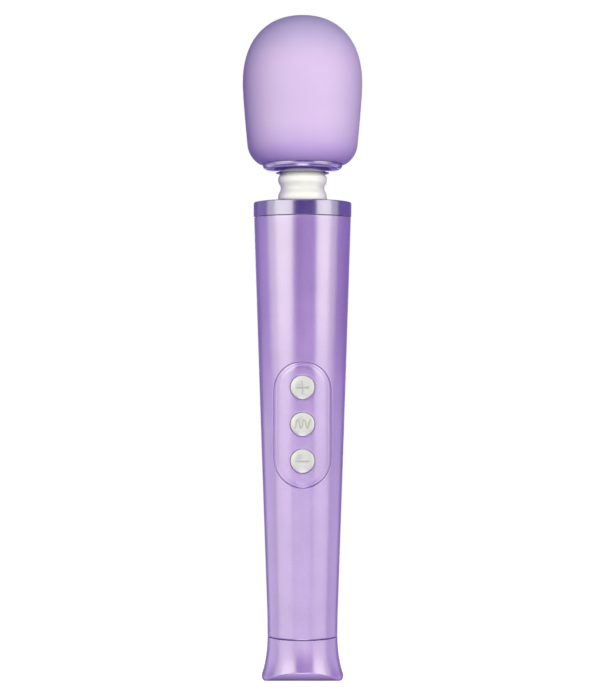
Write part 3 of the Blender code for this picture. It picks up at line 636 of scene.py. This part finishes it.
def control_panel():
    """The pill-shaped inlay: three cells, one above the other, and one grooved shoulder round them all."""
    bm = bmesh.new()
    pitch = BUTTON_HEIGHTS["plus"] - BUTTON_HEIGHTS["mode"]
    middle = BUTTON_HEIGHTS["mode"]
    lines = (middle - pitch / 2, middle + pitch / 2)
    centre_rim = panel_cell(bm, middle, *lines, pitch / 2)
    top_rim = panel_cell(bm, BUTTON_HEIGHTS["plus"], lines[1], math.inf, pitch / 2)
    low_rim = panel_cell(bm, BUTTON_HEIGHTS["minus"], -math.inf, lines[0], pitch / 2)
    right = centre_rim[:CELL_SIDE]
    left = centre_rim[CELL_SIDE + CELL_STRAIGHT:2 * CELL_SIDE + CELL_STRAIGHT]
    loop = right + top_rim[:CELL_END] + left + list(reversed(low_rim[1:CELL_END + 1]))
    face = -PANEL_PROUD
    shoulder = [(1.25, 0.0), (1.2, 0.02), (1.1, 0.09), (1.0, 0.03), (0.92, 0.02)]
    shoulder += [(0.6, 0.05), (0.16, 0.11), (0.04, 0.16), (0.0, 0.30)]
    rings = []
    for inset, drop in shoulder:
        rings.append([on_barrel(*stadium_point(x, z, inset * MM), face + drop * MM) for x, z in loop])
    rings.append([on_barrel(*stadium_point(x, z, 0.0), PANEL_DEPTH) for x, z in loop])
    add_skin(bm, rings)
    panel = new_object("key_panel", bm, "handle")
    dressed(panel, SATIN_LILAC, "satin_lilac", "control_panel")


# Keys


def crown_height(radius):
    """How far the key's face stands over its rim, at a distance from its middle."""
    return KEY_CROWN * (1 - (radius / BUTTON_RADIUS) ** 2.2)


def icon_paths(name):
    """The strokes engraved on a key, as (x, z) points about its middle."""
    arm = 2.25 * MM
    across = [(-arm, 0.0), (arm, 0.0)]
    if name == "minus":
        return [across]
    if name == "plus":
        return [across, [(0.0, -arm), (0.0, arm)]]
    half, height = 2.95 * MM, 1.5 * MM
    wave = []
    for x in spread(-half, half, 90):
        swing = -math.cos(math.pi * 5 * (x + half) / (2 * half))
        wave.append((x, height * math.copysign(abs(swing) ** 0.65, swing)))
    return [wave]


def engraving(x, z, strokes):
    """How deep the key's sign is at a point: a soft round-bottomed groove along each stroke."""
    away = min(nearest(x, z, *ends) for path in strokes for ends in zip(path, path[1:]))
    return STROKE_DEPTH * max(1 - (away / STROKE_REACH) ** 3, 0.0) ** 1.2


def nearest(x, z, start, end):
    """The distance from a point to the straight line between two others."""
    run, rise = end[0] - start[0], end[1] - start[1]
    share = ((x - start[0]) * run + (z - start[1]) * rise) / (run * run + rise * rise)
    share = max(0.0, min(1.0, share))
    return math.hypot(x - start[0] - share * run, z - start[1] - share * rise)


def key(name, height):
    """A domed key with its sign engraved, made about its own middle and then set in place."""
    surface = barrel_radius(height)
    rim = surface + PANEL_PROUD + BUTTON_RISE - KEY_CROWN
    back, flange, stem = surface - 4.6 * MM, surface - 3.7 * MM, 10.1 * MM
    edge, flange_radius, stem_radius = BUTTON_RADIUS, 5.3 * MM, 2 * MM
    outline = [(r, rim + crown_height(r)) for r in spread(0.0, edge - KEY_ROUNDING, 44)]
    fall = rim + crown_height(edge - KEY_ROUNDING)
    rounding = ((0.28, 0.06), (0.12, 0.17), (0.03, 0.33), (0.0, 0.5))
    outline += [(edge - inset * MM, fall - drop * MM) for inset, drop in rounding]
    outline += [(edge, flange), (flange_radius, flange), (flange_radius, back)]
    outline += [(stem_radius, back), (stem_radius, stem), (0.0, stem)]
    cap = lathe(f"key_{name}", outline, None, count=160)
    strokes = icon_paths(name)
    sign = cap.data.attributes.new(SIGN_LAYER, "FLOAT", "POINT")
    for vertex in cap.data.vertices:
        x, y, z = vertex.co
        away = math.hypot(x, y)
        if z > rim - 0.1 * MM and away < edge - KEY_ROUNDING:
            depth = engraving(x, y, strokes)
            sign.data[vertex.index].value = depth / STROKE_DEPTH
            z -= depth
        vertex.co = (x, -z, y)
    cap.data.update()
    cap.location = (0, 0, height)
    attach(cap, f"button_{name}")
    dressed(cap, PEARL, "pearl", f"button_{name}")


# Tail


def flare_radius(height):
    """The tail's radius: it flares out downwards, and rounds in again at the edge."""
    if height < FLARE_FROM:
        share = min((FLARE_FROM - height) / (2 * MM), 1.0)
        return TAIL_RADIUS - EDGE_INSET * (1 - math.sqrt(1 - share * share))
    share = (height - FLARE_FROM) / (TAIL_TOP - FLARE_FROM)
    return TAIL_NECK + (TAIL_RADIUS - TAIL_NECK) * (1 - share) ** FLARE_POWER


def arch(y):
    """The height of the underside at a distance in front of or behind the middle."""
    return ARCH_RISE * (max(abs(y) - LAND, 0.0) / (TAIL_RADIUS - LAND)) ** ARCH_POWER


def edge_height(angle):
    """Where the flare meets the arched underside, at an angle from the front."""
    low, high = -0.2 * MM, 12 * MM
    for _ in range(40):
        middle = (low + high) / 2
        above = middle > arch(flare_radius(middle) * math.cos(angle))
        low, high = (low, middle) if above else (middle, high)
    return high


def tail():
    """The flared end: its side runs down to the arched edge, and its underside in to the jack's hole."""
    bm = bmesh.new()
    sides, unders = 26, 22
    soft = 0.4 * MM
    columns = []
    for i in range(AROUND):
        angle = 2 * math.pi * i / AROUND
        ahead = Vector((math.sin(angle), -math.cos(angle), 0))
        up = Vector((0, 0, 1))
        bottom = edge_height(angle)
        reach = flare_radius(bottom)

        def on_side(height):
            return ahead * flare_radius(height) + up * height

        def beneath(radius):
            return ahead * radius + up * arch(radius * math.cos(angle))

        rise = TAIL_TOP - 0.05 * MM - bottom - soft
        run = JACK_HOLE + 0.3 * MM - reach + soft
        column = [on_side(bottom + soft + rise * (1 - k / sides) ** 1.4) for k in range(sides)]
        column += bezier(on_side(bottom + soft), on_side(bottom), beneath(reach - soft), 5)
        column += [beneath(reach - soft + run * k / unders) for k in range(1, unders + 1)]
        columns.append(column)
    rings = [circle(TAIL_NECK - 2.4 * MM, TAIL_TOP), circle(TAIL_NECK - 0.1 * MM, TAIL_TOP)]
    rings += [list(ring) for ring in zip(*columns)]
    chamber, spigot_bore, spigot = 9.2 * MM, 8.8 * MM, 10.8 * MM
    floor_top, chamber_top, bore_from, spigot_top = 2.6 * MM, 13.0 * MM, 14.0 * MM, 23.5 * MM
    inside = [(JACK_HOLE, 0.3 * MM), (JACK_HOLE, floor_top), (chamber, floor_top), (chamber, chamber_top)]
    inside += [(spigot_bore, bore_from), (spigot_bore, spigot_top), (spigot, spigot_top)]
    rings += [circle(radius, height) for radius, height in inside]
    rings += [circle(spigot, TAIL_TOP), circle(TAIL_NECK - 2.4 * MM, TAIL_TOP)]
    add_skin(bm, rings)
    skin = new_object("tail_end", bm, "handle")
    skin.data.set_sharp_from_angle(angle=math.radians(50))
    dressed(skin, SATIN_LILAC, "satin_lilac", "tail_cap")
    # The underside's faces take the matt lilac, whose lighter colour is painted light, with painted shade
    # towards the floor.
    skin.data.materials.append(MATT_LILAC_PAINTED_LIGHT)
    for face in skin.data.polygons:
        x, y, z = face.center
        if face.normal.z < -0.3 and z < arch(y) + 0.1 * MM and math.hypot(x, y) < TAIL_RADIUS - EDGE_INSET:
            face.material_index = 1


def charge_jack():
    """The charging socket with its round bore, and the pin in it."""
    foot, top = foot_of("charge_jack"), top_of("charge_jack")
    body, bore, bore_depth = radius_of("charge_jack"), 1.75 * MM, 10.0 * MM
    mouth = [(bore, foot + 0.3 * MM), (bore + 0.3 * MM, foot)]
    mouth += [(body - 0.2 * MM, foot), (body, foot + 0.2 * MM)]
    outline = [(0.0, foot + bore_depth), (bore, foot + bore_depth), *mouth, (body, top), (0.0, top)]
    socket = lathe("jack_socket", outline, "handle", count=64)
    socket.data.set_sharp_from_angle(angle=math.radians(40))
    dressed(socket, FINISHES["dark_plastic"], "dark_plastic", "charge_jack")
    radius, low, high = 0.65 * MM, foot_of("charge_jack_pin"), top_of("charge_jack_pin")
    bends = spread(0.0, math.pi / 2, 8)
    nose = [(radius * math.sin(a), low + radius - radius * math.cos(a)) for a in bends]
    pin = lathe("jack_pin", [*nose, (radius, high), (0.0, high)], "handle", count=32)
    pin.data.set_sharp_from_angle(angle=math.radians(40))
    dressed(pin, FINISHES["nickel"], "nickel", "charge_jack_pin")


# Stage, lights and camera

VIEW_HEIGHT = 126.1 * MM
VIEW_DISTANCE = 741.6 * MM
VIEW_LENS = 99.52
FLOOR_GLOW = 0.9
AMBIENT_MATT = 0.20
MATT_TINT, GLOSS_TINT = (0.45, 0.34, 1.25), (0.62, 0.45, 1.05)
# How bright the surroundings are in reflections, by where they lie from the wand
GLOSS_AHEAD, GLOSS_BESIDE, GLOSS_BEHIND, GLOSS_BELOW = 0.03, 0.66, 0.50, 0.7

CLOSE = 0.62  # how far the strips and the table's glow stand from the wand
STRIP_ELEVATION, STRIP_HEIGHT, TABLE_HEIGHT = 18, 0.50, 0.26
STRIP_TINT = (0.95, 0.98, 0.73)
TABLE_TINT = (1.0, 1.0, 0.9)
FILL_TINT = (0.85, 0.8, 1.0)
STRIPS = {  # azimuth, width, radiance
    "left_strip": (-44, 0.50, 3.4),
    "left_strip_edge": (-77, 0.26, 1.8),
    "right_strip": (51, 0.40, 3.4),
    "right_strip_edge": (79, 0.24, 1.5),
}
TABLE_GLOW = {  # azimuth, elevation, width, radiance
    "table_front": (0, -19, 0.60, 1.85),
    "table_left": (-56, -17, 0.60, 2.1),
    "table_right": (56, -17, 0.60, 1.9),
    "table_left_rear": (-110, -17, 0.56, 1.1),
    "table_right_rear": (110, -17, 0.56, 0.8),
}


def floor():
    """A pale disc that fades out into the white round it. The lights named for the table give its glow."""
    bm = bmesh.new()
    radii = (0.1, 0.3, 0.5, 0.7)
    add_skin(bm, [circle(0.0, 0.0)] + [circle(radius, 0.0) for radius in radii])
    disc = new_object("studio_floor", bm, None)
    disc.location = (0, -0.2, -0.05 * MM)
    material = finish_material(
        "studio_white", ((0.90,) * 3, (0.92,) * 3), grain=400, blotch=8, roughness=(0.75, 0.85)
    )
    tree = material.node_tree
    bsdf, output = tree.nodes["Principled BSDF"], tree.nodes["Material Output"]
    bsdf.inputs["Specular IOR Level"].default_value = 0.0
    bsdf.inputs["Emission Color"].default_value = rgba(WHITE)
    bsdf.inputs["Emission Strength"].default_value = FLOOR_GLOW
    place = node_of(tree, "TexCoord").outputs["Object"]
    away = node_of(tree, "VectorMath", operation="LENGTH")
    tree.links.new(place, away.inputs[0])
    fade = node_of(tree, "MapRange", {"From Min": 0.15, "From Max": 0.40}, interpolation_type="SMOOTHSTEP")
    tree.links.new(away.outputs["Value"], fade.inputs["Value"])
    clear = node_of(tree, "BsdfTransparent")
    mix = node_of(tree, "MixShader")
    tree.links.new(fade.outputs["Result"], mix.inputs["Fac"])
    tree.links.new(bsdf.outputs[0], mix.inputs[1])
    tree.links.new(clear.outputs[0], mix.inputs[2])
    tree.links.new(mix.outputs[0], output.inputs["Surface"])
    disc.data.materials.append(material)
    disc.visible_diffuse = disc.visible_glossy = disc.visible_shadow = False


def softbox(
    name, azimuth, elevation, distance, size, radiance, colour=WHITE, glossy=True, diffuse=True
):
    """A rectangular light that faces the wand, placed round it by angle from the camera's side."""
    light = bpy.data.lights.new(name, "AREA")
    light.shape = "RECTANGLE"
    light.size, light.size_y = size
    light.energy = radiance * math.pi * size[0] * size[1]
    light.color = colour
    lamp = bpy.data.objects.new(name, light)
    bpy.context.scene.collection.objects.link(lamp)
    a, e = math.radians(azimuth), math.radians(elevation)
    target = Vector((0, 0, VIEW_HEIGHT))
    back = Vector((math.sin(a) * math.cos(e), -math.cos(a) * math.cos(e), math.sin(e)))
    lamp.location = target + back * distance
    lamp.rotation_euler = back.to_track_quat("Z", "Y").to_euler()
    lamp.visible_glossy, lamp.visible_diffuse = glossy, diffuse
    lamp.visible_camera = False


def world():
    """White behind everything, a dim even light on matt surfaces, and an uneven one in reflections."""
    made = bpy.data.worlds.new("studio")
    bpy.context.scene.world = made
    made.use_nodes = True
    tree = made.node_tree
    link = tree.links.new
    backdrop = tree.nodes["Background"]
    backdrop.inputs["Color"].default_value = rgba(WHITE)
    backdrop.inputs["Strength"].default_value = 1.0
    matt = node_of(tree, "Background", {"Color": rgba(MATT_TINT), "Strength": AMBIENT_MATT})
    gloss = node_of(tree, "Background", {"Color": rgba(GLOSS_TINT)})
    way = node_of(tree, "SeparateXYZ")
    link(node_of(tree, "TexCoord").outputs["Generated"], way.inputs[0])
    round_about = node_of(tree, "ValToRGB")
    ramp = round_about.color_ramp
    ramp.elements[0].position, ramp.elements[0].color = 0.45, rgba((GLOSS_AHEAD,) * 3)
    ramp.elements[1].position, ramp.elements[1].color = 0.90, rgba((GLOSS_BEHIND,) * 3)
    ramp.elements.new(0.63).color = rgba((GLOSS_BESIDE,) * 3)
    across = node_of(tree, "MapRange", {"From Min": -1.0, "From Max": 1.0})
    link(way.outputs["Y"], across.inputs["Value"])
    link(across.outputs["Result"], round_about.inputs["Fac"])
    depths = {"From Min": -0.35, "From Max": -0.8, "To Min": 0.0, "To Max": GLOSS_BELOW}
    below = node_of(tree, "MapRange", depths)
    link(way.outputs["Z"], below.inputs["Value"])
    both = node_of(tree, "Math", operation="ADD")
    link(round_about.outputs["Color"], both.inputs[0])
    link(below.outputs["Result"], both.inputs[1])
    link(both.outputs[0], gloss.inputs["Strength"])
    seen = node_of(tree, "LightPath")
    inner, outer = node_of(tree, "MixShader"), node_of(tree, "MixShader")
    link(seen.outputs["Is Glossy Ray"], inner.inputs["Fac"])
    link(matt.outputs[0], inner.inputs[1])
    link(gloss.outputs[0], inner.inputs[2])
    link(seen.outputs["Is Camera Ray"], outer.inputs["Fac"])
    link(inner.outputs[0], outer.inputs[1])
    link(backdrop.outputs[0], outer.inputs[2])
    link(outer.outputs[0], tree.nodes["World Output"].inputs["Surface"])


def lights():
    """Lights seen only in reflections, soft ones for the matt surfaces, and the table's glow."""
    for name, (azimuth, width, radiance) in STRIPS.items():
        size = (width, STRIP_HEIGHT)
        softbox(name, azimuth, STRIP_ELEVATION, CLOSE, size, radiance, STRIP_TINT, diffuse=False)
    softbox("front_key", 10, 7, 1.5, (0.6, 0.6), 22.0, (1.0, 1.0, 0.84), glossy=False)
    softbox("back_key", 185, 15, 1.5, (0.6, 0.6), 14.0, glossy=False)
    softbox("back_gloss", 180, 6, 0.8, (0.5, 0.8), 1.5, diffuse=False)
    softbox("top_light", 0, 85, 1.0, (0.5, 0.5), 0.8, diffuse=False)
    softbox("high_front", 0, 36, 0.9, (0.7, 0.5), 1.8, diffuse=False)
    softbox("left_fill", -95, 6, 1.2, (0.5, 0.5), 1.4, FILL_TINT, glossy=False)
    softbox("right_fill", 95, 6, 1.2, (0.5, 0.5), 1.4, FILL_TINT, glossy=False)
    softbox("left_glow", -108, 14, CLOSE, (0.50, 0.50), 0.25, (1.0, 0.92, 1.0), diffuse=False)
    for name, (azimuth, elevation, width, radiance) in TABLE_GLOW.items():
        size = (width, TABLE_HEIGHT)
        softbox(name, azimuth, elevation, CLOSE, size, radiance, TABLE_TINT, diffuse=False)
    softbox("under_front", 0, -56, 0.6, (0.30, 0.46), 3.4, diffuse=False)
    softbox("table_bounce", 0, -90, 0.16, (0.08, 0.08), 0.95, TABLE_TINT, glossy=False)


def camera():
    """Straight ahead of the wand, a little under the middle of its height."""
    data = bpy.data.cameras.new("front_view")
    data.lens = VIEW_LENS
    data.clip_start = 0.01
    viewer = bpy.data.objects.new("front_view", data)
    viewer.location = (0, -VIEW_DISTANCE, VIEW_HEIGHT)
    viewer.rotation_euler = (math.pi / 2, 0, 0)
    bpy.context.scene.collection.objects.link(viewer)
    bpy.context.scene.camera = viewer


dress_cad_nodes()
head_cover()
head_collar()
bellows()
shoulder_ring()
barrel()
control_panel()
for key_name, key_height in BUTTON_HEIGHTS.items():
    key(key_name, key_height)
tail()
charge_jack()
floor()
world()
lights()
camera()
bpy.context.scene.view_settings.view_transform = "Standard"
